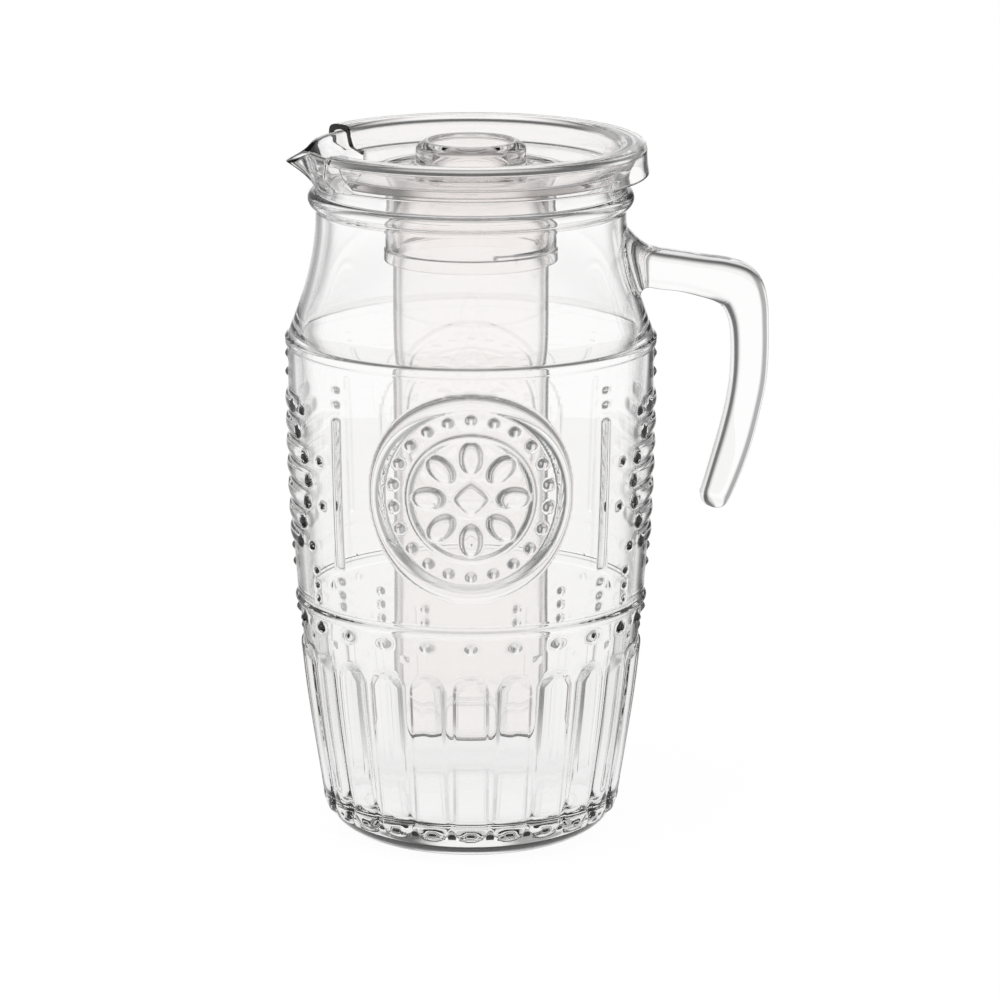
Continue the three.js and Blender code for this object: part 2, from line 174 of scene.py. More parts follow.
def smoothStep(low, high, value):
    # a cubic that eases from zero at the low value to one at the high value
    t = np.clip((value - low) / (high - low), 0.0, 1.0)
    return t * t * (3.0 - 2.0 * t)


def turnFrom(azimuth, centre):
    # signed angle from a centre azimuth, between minus and plus half a turn
    return (azimuth - math.radians(centre) + np.pi) % (2 * np.pi) - np.pi


def dome(distance, reach, proud, crown=1.0):
    # a bump: proud at the middle, falling as a power of one minus the square of the distance over the reach
    return proud * np.clip(1.0 - (distance / reach) ** 2, 0.0, None) ** crown


def pillow(distance, reach, proud, edge):
    # a flat-topped bump: proud times one minus a high power of the distance over the reach
    return proud * np.clip(1.0 - (distance / reach) ** edge, 0.0, None)


# Jug body: pressed glass

jug = {
    "base": 35.0, "heelHeight": 15.0, "heel": 54.2,
    "shoulderZ": 187.2, "shoulder": 66.8, "barrelPower": 2.35,
    "neckZ": 230.0, "neck": 56.5, "shoulderPower": 1.78,
    "wall": 3.7, "floor": 10.5, "innerHeel": 12.0, "innerSoftness": 5.0,
    "beadZ": 237.0, "beadHalf": 3.0, "beadProud": 2.7,
    "flareZ": 240.0, "rimZ": 255.6, "flare": 3.4, "flarePower": 1.3, "rimThickness": 2.6, "rimRound": 1.2,
}
jugRings = {
    "lowerZ": 89.2, "lowerHalf": 1.8, "lowerProud": 1.2,
    "steps": ((90.2, 88.2, -0.4), (60.0, 30.0, -0.3), (16.0, 0.5, 0.7)),  # from a height, down to, outwards by
    "bandLow": 183.3, "bandHigh": 187.5, "bandProud": 1.0, "bandEdge": 1.1,
}
pressing = {"fade": (84.0, 104.0), "back": 0.3}  # all ornaments are pressed less deep on the back half
spout = {"azimuth": -90.0, "draw": 7.9, "halfWidth": 5.6, "power": 1.6, "dip": 5.2, "dipHalfWidth": 7.5}
flutes = {
    "count": 24, "halfWidth": 6.4, "proud": 1.2, "flatness": 7.0, "lowZ": 9.0, "highZ": 73.6, "least": 52.0,
    "columns": (0.0, 1.1, 2.2, 5.0, 5.6, 6.1, 6.6),  # distances from a flute's middle, closest at its edge
}


def wallRadius(z):
    # elliptical heel, a power curve up to the shoulder, another power curve down to the neck
    rise = np.clip(z / jug["heelHeight"], 0.0, 1.0)
    heel = jug["base"] + (jug["heel"] - jug["base"]) * np.sqrt(1.0 - (1.0 - rise) ** 2)
    left = np.clip((jug["shoulderZ"] - z) / (jug["shoulderZ"] - jug["heelHeight"]), 0.0, 1.0)
    barrel = jug["shoulder"] - (jug["shoulder"] - jug["heel"]) * left ** jug["barrelPower"]
    up = np.clip((jug["neckZ"] - z) / (jug["neckZ"] - jug["shoulderZ"]), 0.0, 1.0)
    cone = jug["neck"] + (jug["shoulder"] - jug["neck"]) * up ** jug["shoulderPower"]
    return np.where(z < jug["heelHeight"], heel, np.where(z < jug["shoulderZ"], barrel, cone))


def rimShare(z):
    # zero where the flare starts, one at the rim
    return np.clip((z - jug["flareZ"]) / (jug["rimZ"] - jug["flareZ"]), 0.0, 1.0)


def flareRadius(z):
    # power curve from the neck to the rim
    return jug["neck"] + jug["flare"] * rimShare(z) ** jug["flarePower"]


def flareBore(z):
    # the flare less a wall that thins evenly towards the lip
    return flareRadius(z) - jug["wall"] + (jug["wall"] - jug["rimThickness"]) * rimShare(z)


def ringRelief(z):
    # a half-round ring, and the sum of the soft steps passed on the way down:
    # into the hollow belt, then the foot, and back to nothing at the base
    ring = dome(z - jugRings["lowerZ"], jugRings["lowerHalf"], jugRings["lowerProud"], 0.7)
    return ring + sum(change * (1.0 - smoothStep(end, start, z)) for start, end, change in jugRings["steps"])


def pressShare(azimuth):
    # one on the front half, fading to a smaller share on the back half
    away = smoothStep(*np.radians(pressing["fade"]), np.abs(turnFrom(azimuth, 0.0)))
    return 1.0 - (1.0 - pressing["back"]) * away


def bandRelief(azimuth, profile):
    # a flat band with soft edges at the shoulder
    z = profile[:, 1:]
    edge = jugRings["bandEdge"]
    rising = smoothStep(jugRings["bandLow"], jugRings["bandLow"] + edge, z)
    falling = 1.0 - smoothStep(jugRings["bandHigh"] - edge, jugRings["bandHigh"], z)
    return jugRings["bandProud"] * rising * falling * pressShare(azimuth)


def wallRows(*spans):
    # rows on the wall, by spans of (lowest, highest, step)
    levels = np.concatenate([np.arange(*span) for span in spans])
    return np.stack([wallRadius(levels), levels], axis=-1)


def footProfile():
    # base, heel and fluted wall, up to just above the lower ring
    return np.vstack([
        np.stack([[8.0, 20.0, 30.0, 34.0], np.zeros(4)], axis=-1),
        arcRows((jug["base"], jug["heelHeight"]), jug["heel"] - jug["base"], jug["heelHeight"], -90, 0, 26),
        wallRows((17.0, 63.0, 3.0), (63.0, 76.0, 0.75), (76.0, 87.0, 0.75), (87.0, 92.2, 0.4)),
    ])


def barrelProfile():
    # the ornamented wall, with the closest rows at the medallions
    return wallRows((92.2, 103.0, 0.95), (103.0, 177.0, 0.6), (177.0, 183.0, 0.95))


def topProfile():
    # shoulder band, shoulder, neck, bead, flare, lip, and the inside of the flare
    lip = jug["rimRound"]
    lipZ = jug["rimZ"] - lip
    flareLevels = np.linspace(jug["flareZ"] + 0.5, lipZ, 10)[:-1]
    boreLevels = np.linspace(lipZ, jug["flareZ"], 9)[1:]
    return np.vstack([
        wallRows((183.0, 188.2, 0.4), (188.4, 230.0, 3.0), (230.0, 233.5, 2.0)),
        arcRows((jug["neck"], jug["beadZ"]), jug["beadProud"], jug["beadHalf"], -90, 90, 13),
        np.stack([flareRadius(flareLevels), flareLevels], axis=-1),
        arcRows((flareRadius(lipZ) - lip, lipZ), lip, lip, 0, 90, 4),
        arcRows((flareBore(lipZ) + lip, lipZ), lip, lip, 90, 180, 4),
        np.stack([flareBore(boreLevels), boreLevels], axis=-1),
    ])


def insideProfile():
    # the outside less the wall, softened by a bell curve, then a round heel and the floor
    level = np.arange(0.0, 260.0, 0.5)
    plain = wallRadius(level) - jug["wall"]
    reach = np.arange(-4 * jug["innerSoftness"], 4 * jug["innerSoftness"] + 0.5, 0.5)
    weight = np.exp(-0.5 * (reach / jug["innerSoftness"]) ** 2)
    padded = np.pad(plain, len(reach) // 2, mode="edge")
    soft = np.convolve(padded, weight / weight.sum(), mode="valid")
    heelTop = jug["floor"] + jug["innerHeel"]
    upper = np.linspace(jug["flareZ"] - 2.5, jug["shoulderZ"], 12)
    levels = np.concatenate([upper, np.linspace(180.0, heelTop, 16)])
    side = np.stack([np.interp(levels, level, soft), levels], axis=-1)
    flat = side[-1, 0] - jug["innerHeel"]
    heel = arcRows((flat, heelTop), jug["innerHeel"], jug["innerHeel"], 0, -90, 9)[1:]
    bottom = np.stack([[30.0, 20.0, 9.0], np.full(3, jug["floor"])], axis=-1)
    return np.vstack([side, heel, bottom])


def sortedAzimuths(degrees):
    # one row of columns for all rows of a grid
    return np.radians(np.sort((np.asarray(degrees) + 180.0) % 360.0 - 180.0))[None, :]


def fluteRadius(profile):
    # the radius that turns an angle into a width across a flute, no less than that of the heel
    return np.maximum(profile[:, :1], flutes["least"])


def footColumns(profile):
    # by row, the same widths on each flute, and one column in the middle of each land beside it
    pitch = 2 * np.pi / flutes["count"]
    offsets = np.array(flutes["columns"]) / fluteRadius(profile)
    land = np.full((len(profile), 1), pitch / 2)
    onePitch = np.concatenate([-offsets[:, :0:-1], offsets, land], axis=1)
    turns = pitch * np.arange(flutes["count"])[None, :, None] - np.pi
    return (turns + onePitch[:, None, :]).reshape(len(profile), -1)


def barrelColumns(profile):
    # closest on the front medallion, then on the back one and on the rods beside it
    spans = (
        (0, 35, 0.6), (35, 70, 1.1), (70, 112, 1.5),
        (112, 130, 3.0), (130, 137, 1.0), (137, 145, 2.7), (145, 180, 1.0),
    )
    oneSide = np.concatenate([np.arange(*span) for span in spans])
    return sortedAzimuths(np.concatenate([oneSide, -oneSide[1:], [180.0]]))


def topColumns(profile):
    # closest at the spout
    middle = spout["azimuth"] % 360.0
    near, far = middle - 22.0, middle + 22.0
    lipStart, lipEnd = middle - 8.0, middle + 8.0
    spans = ((near, lipStart, 1.0), (lipStart, lipEnd, 0.5), (lipEnd, far, 1.0), (far, near + 360.0, 2.4))
    return sortedAzimuths(np.concatenate([np.arange(*span) for span in spans]))


def insideColumns(profile):
    # even columns, because the inside is plain
    return sortedAzimuths(np.arange(0.0, 360.0, 3.0))


def footRelief(azimuth, profile):
    # flutes: pillow-shaped tongues with round ends, by the distance from the middle line;
    # above them a bead over each flute and a small stud over each land
    pitch = 2 * np.pi / flutes["count"]
    half = flutes["halfWidth"]
    turn = (azimuth + pitch / 2) % pitch - pitch / 2
    along = np.append(0.0, np.cumsum(np.hypot(*np.diff(profile, axis=0).T)))
    low, high = np.interp((flutes["lowZ"], flutes["highZ"]), profile[4:, 1], along[4:])
    past = np.maximum(np.maximum(low + half - along, along - high + half), 0.0)[:, None]
    distance = np.hypot(fluteRadius(profile) * turn, past)
    tongues = pillow(distance, half, flutes["proud"], flutes["flatness"])
    z = profile[:, 1:]
    radius = wallRadius(belt["beadZ"])
    overLand = radius * (azimuth % pitch - pitch / 2)
    beads = dome(np.hypot(radius * turn, z - belt["beadZ"]), belt["beadReach"], belt["beadProud"])
    studs = dome(np.hypot(overLand, z - belt["studZ"]), belt["studReach"], belt["studProud"])
    return (tongues + np.maximum(beads, studs) + ringRelief(z)) * pressShare(azimuth)


# Ornaments pressed on the barrel

belt = {"beadZ": 84.0, "beadReach": 2.2, "beadProud": 1.7, "studZ": 79.0, "studReach": 1.2, "studProud": 0.5}
medallion = {
    "z": 140.0, "sides": (0.0, 180.0),
    "ring": 35.1, "ringHalf": 3.0, "ringProud": 2.4,
    "thinRing": 22.6, "thinHalf": 1.3, "thinProud": 1.1,
    "beads": 22, "beadOrbit": 28.8, "beadReach": 2.1, "beadProud": 1.7,
    "petals": 8, "petalOrbit": 15.2, "petalLong": 6.3, "petalWide": 4.1, "petalProud": 1.9, "petalEdge": 4.5,
    "diamond": 6.4, "diamondProud": 0.9, "diamondStep": 0.9, "diamondEdge": 6.0, "diamondRound": 1.25,
}
ribs = {
    "z": 139.0, "sides": (90.0, -90.0), "pitch": 8.2,
    "halfLengths": (19.0, 25.5, 31.5, 34.0, 32.5, 28.0, 23.5),
    "half": 3.0, "proud": 1.2, "dotRibs": (0, 2, 4, 6), "dotBeyond": 8.5,
    "endDots": (179.4, 172.5, 107.4, 101.3), "dotReach": 1.9, "dotProud": 1.2,
}
rods = {
    "azimuths": (46.5, -46.5, 133.5, -133.5), "low": 109.0, "high": 165.0, "half": 1.6, "proud": 1.2,
    "dots": (175.2, 169.8, 104.3, 99.2, 95.0), "dotReach": 1.6, "dotProud": 1.0,
}
dotColumns = {
    # heights by azimuth from a medallion
    "heights": {15.0: (98.7, 93.8), 30.0: (104.0, 99.0, 93.8), 60.0: (105.5, 100.0, 95.0)},
    "reach": 1.6, "proud": 1.0,
}


def medallionRelief(azimuth, z, side):
    # rings by the distance from the middle, domes for beads, pillows for petals,
    # a pyramid on a pillow for the diamond
    u = wallRadius(medallion["z"]) * turnFrom(azimuth, side)
    v = z - medallion["z"]
    distance = np.hypot(u, v)
    relief = dome(distance - medallion["ring"], medallion["ringHalf"], medallion["ringProud"], 0.6)
    thinRing = dome(distance - medallion["thinRing"], medallion["thinHalf"], medallion["thinProud"])
    relief = np.maximum(relief, thinRing)
    for angle in np.radians(90.0 + 360.0 * np.arange(medallion["beads"]) / medallion["beads"]):
        orbit = medallion["beadOrbit"]
        away = np.hypot(u - orbit * np.cos(angle), v - orbit * np.sin(angle))
        relief = np.maximum(relief, dome(away, medallion["beadReach"], medallion["beadProud"]))
    for angle in np.radians(360.0 * np.arange(medallion["petals"]) / medallion["petals"]):
        outwards = u * np.cos(angle) + v * np.sin(angle) - medallion["petalOrbit"]
        aside = v * np.cos(angle) - u * np.sin(angle)
        away = np.hypot(outwards / medallion["petalLong"], aside / medallion["petalWide"])
        relief = np.maximum(relief, pillow(away, 1.0, medallion["petalProud"], medallion["petalEdge"]))
    corner = medallion["diamondRound"]
    away = (np.abs(u) ** corner + np.abs(v) ** corner) ** (1.0 / corner)
    foot = pillow(away, medallion["diamond"], medallion["diamondStep"], medallion["diamondEdge"])
    return np.maximum(relief, foot + pillow(away, medallion["diamond"], medallion["diamondProud"], 1.0))


def barRelief(along, across, halfLength, half, proud):
    # a bar with round ends: a dome of the distance to its middle line
    past = np.maximum(np.abs(along) - halfLength + half, 0.0)
    return dome(np.hypot(past, across), half, proud, 0.6)


def ribRelief(azimuth, z, side):
    # seven level bars, shorter at the top and the bottom, with dots past their ends and above and below
    turn = turnFrom(azimuth, side)
    relief = np.zeros_like(turn + z)
    for i, halfLength in enumerate(ribs["halfLengths"]):
        height = ribs["z"] + (3 - i) * ribs["pitch"]
        u = wallRadius(height) * turn
        relief = np.maximum(relief, barRelief(u, z - height, halfLength, ribs["half"], ribs["proud"]))
        if i in ribs["dotRibs"]:
            away = np.hypot(np.abs(u) - halfLength - ribs["dotBeyond"], z - height)
            relief = np.maximum(relief, dome(away, ribs["dotReach"], ribs["dotProud"]))
    for height in ribs["endDots"]:
        away = np.hypot(wallRadius(height) * turn, z - height)
        relief = np.maximum(relief, dome(away, ribs["dotReach"], ribs["dotProud"]))
    return relief


def dotRelief(azimuth, z, centre, height, reach, proud):
    # a dome about one place on the wall
    away = np.hypot(wallRadius(height) * turnFrom(azimuth, centre), z - height)
    return dome(away, reach, proud)


def rodRelief(azimuth, z, centre):
    # one upright bar with dots in line with it
    middle = (rods["low"] + rods["high"]) / 2
    u = wallRadius(middle) * turnFrom(azimuth, centre)
    relief = barRelief(z - middle, u, (rods["high"] - rods["low"]) / 2, rods["half"], rods["proud"])
    for height in rods["dots"]:
        relief = np.maximum(relief, dotRelief(azimuth, z, centre, height, rods["dotReach"], rods["dotProud"]))
    return relief


def barrelRelief(azimuth, profile):
    # the highest of all ornaments at each place
    z = profile[:, 1:]
    relief = np.zeros_like(azimuth + z)
    for side in medallion["sides"]:
        relief = np.maximum(relief, medallionRelief(azimuth, z, side))
        for offset, heights in dotColumns["heights"].items():
            for centre in (side - offset, side + offset):
                for height in heights:
                    dot = dotRelief(azimuth, z, centre, height, dotColumns["reach"], dotColumns["proud"])
                    relief = np.maximum(relief, dot)
    for centre in rods["azimuths"]:
        relief = np.maximum(relief, rodRelief(azimuth, z, centre))
    for side in ribs["sides"]:
        relief = np.maximum(relief, ribRelief(azimuth, z, side))
    return relief * pressShare(azimuth)


def drawSpout(radius, height, azimuth):
    # near the spout the rim is drawn out and dips, both by bell curves of the width across
    share = rimShare(height)
    turn = turnFrom(azimuth, spout["azimuth"])
    across = np.where(np.cos(turn) > 0, radius * np.sin(turn), radius)
    draw = spout["draw"] * np.exp(-(across / spout["halfWidth"]) ** 2) * share ** spout["power"]
    dip = spout["dip"] * np.exp(-(across / spout["dipHalfWidth"]) ** 2) * share
    return radius + draw, height - dip


def outwardOf(profile):
    # normals of a profile that runs up the outside, over the lip and down the inside
    tangent = np.gradient(profile, axis=0)
    tangent /= np.hypot(tangent[:, 0], tangent[:, 1])[:, None]
    return tangent[:, 1:], -tangent[:, :1]


def makeJugBody():
    # four grids, one above the other, each with its own columns, sewn together ring to ring
    zones = (
        (footProfile(), footColumns, footRelief),
        (barrelProfile(), barrelColumns, barrelRelief),
        (topProfile(), topColumns, bandRelief),
        (insideProfile(), insideColumns, None),
    )
    points, faces, first = [], [], 0
    topRing = topAzimuth = None
    for profile, columnsOf, relief in zones:
        azimuth = columnsOf(profile)
        radius, height = profile[:, :1], profile[:, 1:]
        if relief is not None:
            outR, outZ = outwardOf(profile)
            press = relief(azimuth, profile)
            radius, height = radius + press * outR, height + press * outZ
        radius, height = drawSpout(radius + 0.0 * azimuth, height + 0.0 * azimuth, azimuth)
        points.append(turnedPoints(radius, height, azimuth).reshape(-1, 3))
        rows, columns = radius.shape
        faces.append(gridFaces(rows, columns, first))
        ring = first + np.arange(columns)
        if topRing is None:
            bottomRing = ring
        else:
            faces.append(sewFaces(topRing, topAzimuth, ring, azimuth[0]))
        first += rows * columns
        topRing, topAzimuth = ring + (rows - 1) * columns, azimuth[-1]
    points.append(np.array([[0.0, 0.0, 0.0], [0.0, 0.0, jug["floor"]]]))
    faces.append(fanFaces(bottomRing, first, False))
    faces.append(fanFaces(topRing, first + 1, True))
    return meshPiece("jugBody", np.vstack(points), faces, 180.0)


# Handle: a glass hook swept through stations (x, z, width across its bend)

handleForm = {
    "stations": (
        (59.0, 213.2, 16.0), (67.0, 210.9, 14.9), (76.0, 209.6, 14.2), (84.0, 208.1, 15.0),
        (91.4, 206.4, 16.4), (97.1, 203.4, 17.8), (99.9, 197.5, 16.2), (101.1, 190.0, 14.4),
        (101.4, 180.0, 13.9), (100.9, 170.0, 13.6), (99.25, 160.0, 13.1), (96.65, 149.0, 13.0),
        (93.65, 139.0, 12.6), (90.6, 130.0, 11.6), (89.1, 126.2, 10.8),
    ),
    "thickness": 15.0, "tipThickness": 12.0, "squareness": 3.6,
    "flare": 6.2, "flareLength": 9.0, "rootLength": 14.0, "embed": 0.5, "capRings": (0.25, 0.5, 0.75),
    "rowsPerStation": 7, "columns": 48, "tipRows": 8,
}


def smoothStations(stations, steps):
    # Catmull-Rom curve through the stations
    p = np.asarray(stations, float)
    p = np.vstack([2 * p[0] - p[1], p, 2 * p[-1] - p[-2]])
    t = np.linspace(0.0, 1.0, steps, endpoint=False)[None, :, None]
    a, b, c, d = (p[i:len(p) - 3 + i][:, None, :] for i in range(4))
    square = (2 * a - 5 * b + 4 * c - d) * t ** 2
    cube = (3 * b - a - 3 * c + d) * t ** 3
    curve = 0.5 * (2 * b + (c - a) * t + square + cube)
    return np.vstack([curve.reshape(-1, p.shape[1]), p[-2]])


def makeHandle():
    # superellipse sections square to the path; the root follows the jug's wall,
    # and the tip closes as a half ellipse
    form = handleForm
    path = smoothStations(form["stations"], form["rowsPerStation"])
    x, z, width = path.T
    heading = np.gradient(path[:, :2], axis=0)
    heading /= np.hypot(heading[:, 0], heading[:, 1])[:, None]
    share = np.linspace(0.0, 1.0, len(path))
    thickness = form["thickness"] + (form["tipThickness"] - form["thickness"]) * share
    out = x - x[0]
    arm = z > form["stations"][5][1]
    flare = np.where(arm, form["flare"] * np.clip(1.0 - out / form["flareLength"], 0.0, None) ** 3, 0.0)
    halfWidth = width / 2 + flare
    halfThick = thickness / 2 + flare * 0.8

    # rows of the tip: sections that shrink along a half ellipse past the last station
    bend = np.sin(np.linspace(0.0, np.pi / 2, form["tipRows"] + 1)[1:-1])
    shrink = np.sqrt(1.0 - bend ** 2)
    reach = halfWidth[-1] * 0.85
    x = np.concatenate([x, x[-1] + heading[-1, 0] * reach * bend])
    z = np.concatenate([z, z[-1] + heading[-1, 1] * reach * bend])
    heading = np.vstack([heading, np.repeat(heading[-1:], len(bend), axis=0)])
    halfWidth = np.concatenate([halfWidth, halfWidth[-1] * shrink])
    halfThick = np.concatenate([halfThick, halfThick[-1] * shrink])

    angle = np.linspace(0.0, 2 * np.pi, form["columns"], endpoint=False)[None, :]
    across = halfWidth[:, None] * squared(np.cos(angle), form["squareness"])
    aside = halfThick[:, None] * squared(np.sin(angle), form["squareness"])
    gridX = x[:, None] - across * heading[:, 1:]
    gridZ = z[:, None] + across * heading[:, :1]
    gridY = -aside

    # near the root, lengths along the arm are stretched to end just inside the wall
    wallX = np.sqrt(wallRadius(gridZ) ** 2 - gridY ** 2) - form["embed"]
    rootEnd = x[0] + form["rootLength"]
    reached = np.minimum((x - x[0])[:, None] / form["rootLength"], 1.0)
    lean = gridX - x[:, None]
    gridX = np.where(reached < 1.0, wallX + reached * (rootEnd - wallX + lean), gridX)

    # the hidden end lies parallel to the wall, as rings that shrink to a point
    share = np.array((0.0,) + form["capRings"])[:, None]
    capY = share * gridY[0]
    capZ = z[0] + share * (gridZ[0] - z[0])
    capX = np.sqrt(wallRadius(capZ) ** 2 - capY ** 2) - form["embed"]
    cap = np.stack([capX, capY, capZ], axis=-1)
    points = np.concatenate([cap[1:], np.stack([gridX, gridY, gridZ], axis=-1)])
    rows, columns = points.shape[:2]
    tipX = x[-1] + heading[-1, 0] * (1 - bend[-1]) * reach
    tipZ = z[-1] + heading[-1, 1] * (1 - bend[-1]) * reach
    tip = np.array([[tipX, 0.0, tipZ]])
    root = cap[0, :1]
    count = rows * columns
    faces = [
        gridFaces(rows, columns),
        fanFaces(np.arange(columns), count, False),
        fanFaces(np.arange(count - columns, count), count + 1, True),
    ]
    return meshPiece("handleHook", np.vstack([points.reshape(-1, 3), root, tip]), faces, 60.0)


# Lid: one clear moulding

lidForm = {
    "panelTop": 248.4, "panelBottom": 246.2, "panelRadius": 53.8, "recess": 52.1, "recessTop": 53.9,
    "springZ": 253.8, "crestZ": 257.8, "ceilingZ": 255.9, "wall": 1.7,
    "crestSquareness": 3.5, "skirtBore": 61.9, "skirtWall": 1.9, "skirtDraft": 0.8, "skirtBottom": 245.9,
    "knob": 20.0, "knobShoulder": 255.4, "knobCrown": 16.8, "knobLip": 15.4, "knobBore": 14.6,
    "knobTop": 257.8,
    "collarBore": 29.7, "collar": 31.0, "hoop": 31.6, "collarMouth": 214.2, "hoopTop": 219.2,
    "columns": 192,
}
slotForm = {
    "angle": 35.0, "footAngle": 41.5, "bendLow": 245.5, "bendHigh": 250.5, "gapEdge": 39.3, "far": 72.0,
    "low": 238.0, "high": 264.0, "levels": 25, "edge": 0.35,
}
ledges = {"starts": (30.0, 210.0), "span": 70.0, "taper": 4.0, "z": 216.6, "half": 1.2, "proud": 0.9}


def lidProfile():
    # panel, collar and finger ring from straight runs with rounded corners; crest and channel from ellipses
    form = lidForm
    channel = form["recessTop"] + form["wall"]
    skirt = form["skirtBore"] + form["skirtWall"]
    drop = form["skirtDraft"]
    lower = roundedProfile([
        (0.0, form["panelBottom"], 0.0),
        (form["collarBore"], form["panelBottom"], 0.6),
        (form["collarBore"], form["collarMouth"], 0.5),
        (form["hoop"], form["collarMouth"], 0.6),
        (form["hoop"], form["hoopTop"] - 0.5, 0.5),
        (form["collar"], form["hoopTop"], 0.5),
        (form["collar"], form["panelBottom"], 0.8),
        (form["panelRadius"], form["panelBottom"], 0.8),
        (channel, form["springZ"], 0.0),
    ])
    middle = channel + (form["skirtBore"] - channel) / 2
    ceilingRise = form["ceilingZ"] - form["springZ"]
    ceiling = arcRows((middle, form["springZ"]), form["skirtBore"] - middle, ceilingRise, 180, 0, 12)
    foot = roundedProfile([
        (form["skirtBore"], form["springZ"], 0.0),
        (form["skirtBore"] + drop, form["skirtBottom"], 0.8),
        (skirt + drop, form["skirtBottom"], 0.8),
        (skirt, form["springZ"], 0.0),
    ])
    crestMiddle = (skirt + form["recessTop"]) / 2
    crestRise = form["crestZ"] - form["springZ"]
    crestPlace = (crestMiddle, form["springZ"])
    crest = arcRows(crestPlace, skirt - crestMiddle, crestRise, 0, 180, 28, form["crestSquareness"])
    upper = roundedProfile([
        (form["recessTop"], form["springZ"], 0.0),
        (form["recess"], form["panelTop"], 1.2),
        (form["knob"], form["panelTop"], 1.2),
        (form["knob"], form["knobShoulder"], 1.0),
        (form["knobCrown"], form["knobTop"], 1.2),
        (form["knobLip"], form["knobTop"], 0.8),
        (form["knobBore"], form["panelTop"], 1.8),
        (0.0, form["panelTop"], 0.0),
    ])
    return np.vstack([lower[:-1], ceiling, foot[1:-1], crest, upper[1:]])


def spreadRows(profile, longest):
    # extra rows where a straight run is longer than a limit
    rows = [profile[:1]]
    for start, end in zip(profile[:-1], profile[1:]):
        count = max(1, int(np.ceil(np.hypot(*(end - start)) / longest)))
        rows.append(start + (end - start) * (np.arange(1, count + 1) / count)[:, None])
    return np.vstack(rows)


def ledgeRelief(azimuth, z, radius):
    # two low ledges on the inside of the collar, with tapered ends
    relief = np.zeros_like(azimuth + z)
    onBore = (radius < lidForm["collarBore"] + 0.2) & (radius > lidForm["knob"] + 1.0)
    inside = onBore & (z < lidForm["panelBottom"] - 1.0)
    for start in ledges["starts"]:
        turn = np.degrees(turnFrom(azimuth, start + ledges["span"] / 2))
        ends = 1.0 - smoothStep(ledges["span"] / 2 - ledges["taper"], ledges["span"] / 2, np.abs(turn))
        relief = np.maximum(relief, dome(z - ledges["z"], ledges["half"], ledges["proud"], 0.6) * ends)
    return -relief * inside


def slotCutter():
    # four corners carried up through the slot's levels; the ends lean apart towards the foot
    form = slotForm
    z = np.linspace(form["low"], form["high"], form["levels"])
    widen = 1.0 - smoothStep(form["bendLow"], form["bendHigh"], z)
    slope = np.tan(np.radians(form["angle"] + (form["footAngle"] - form["angle"]) * widen))
    near = np.full_like(z, -form["gapEdge"])
    far = np.full_like(z, -form["far"])
    corners = [(near, near * slope), (near, -near * slope), (far, -far * slope), (far, far * slope)]
    points = np.stack([np.stack([x, y, z], axis=-1) for x, y in corners], axis=1)
    count = 4 * len(z)
    faces = [
        gridFaces(len(z), 4),
        np.array([[3, 2, 1, 0]]),
        np.array([[count - 4, count - 3, count - 2, count - 1]]),
    ]
    return meshPiece("slotCutter", points.reshape(-1, 3), faces)


def settle(piece):
    # the piece's modifiers become its mesh
    graph = bpy.context.evaluated_depsgraph_get()
    finished = bpy.data.meshes.new_from_object(piece.evaluated_get(graph))
    piece.modifiers.clear()
    old = piece.data
    piece.data = finished
    bpy.data.meshes.remove(old)
    finished.name = piece.name


def makeLid():
    # lathe of the profile, then the slot is cut out and its edges are eased
    profile = spreadRows(lidProfile(), 3.0)
    piece = turnedPiece("clearLid", profile, lidForm["columns"], ledgeRelief)
    cutter = slotCutter()
    cut = piece.modifiers.new("slot", "BOOLEAN")
    cut.operation = "DIFFERENCE"
    cut.solver = "EXACT"
    cut.object = cutter
    settle(piece)
    bpy.data.objects.remove(cutter)
    edge = piece.modifiers.new("edge", "BEVEL")
    edge.width = slotForm["edge"] * mm
    edge.segments = 2
    edge.limit_method = "ANGLE"
    edge.angle_limit = math.radians(45.0)
    settle(piece)
    piece.data.set_sharp_from_angle(angle=math.radians(40.0))
    return piece


# Ice tube and its seal

tubeForm = {
    "radius": 28.3, "wall": 1.6, "bottom": 40.5, "top": 244.0, "corner": 2.8, "columns": 192,
    "lugStarts": (15.0, 195.0), "lugSpan": 100.0, "lugTaper": 4.0,
    "lugZ": 219.3, "lugHalf": 1.2, "lugProud": 1.0,
}
sealForm = {"bore": 26.7, "radius": 29.3, "low": 244.2, "high": 246.2, "round": 0.5, "columns": 144}


def lugRelief(azimuth, z, radius):
    # two low lugs round the outside of the tube, with tapered ends
    relief = np.zeros_like(azimuth + z)
    outside = radius > tubeForm["radius"] - 0.1
    for start in tubeForm["lugStarts"]:
        half = tubeForm["lugSpan"] / 2
        turn = np.degrees(turnFrom(azimuth, start + half))
        ends = 1.0 - smoothStep(half - tubeForm["lugTaper"], half, np.abs(turn))
        lug = dome(z - tubeForm["lugZ"], tubeForm["lugHalf"], tubeForm["lugProud"], 0.6)
        relief = np.maximum(relief, lug * ends)
    return relief * outside


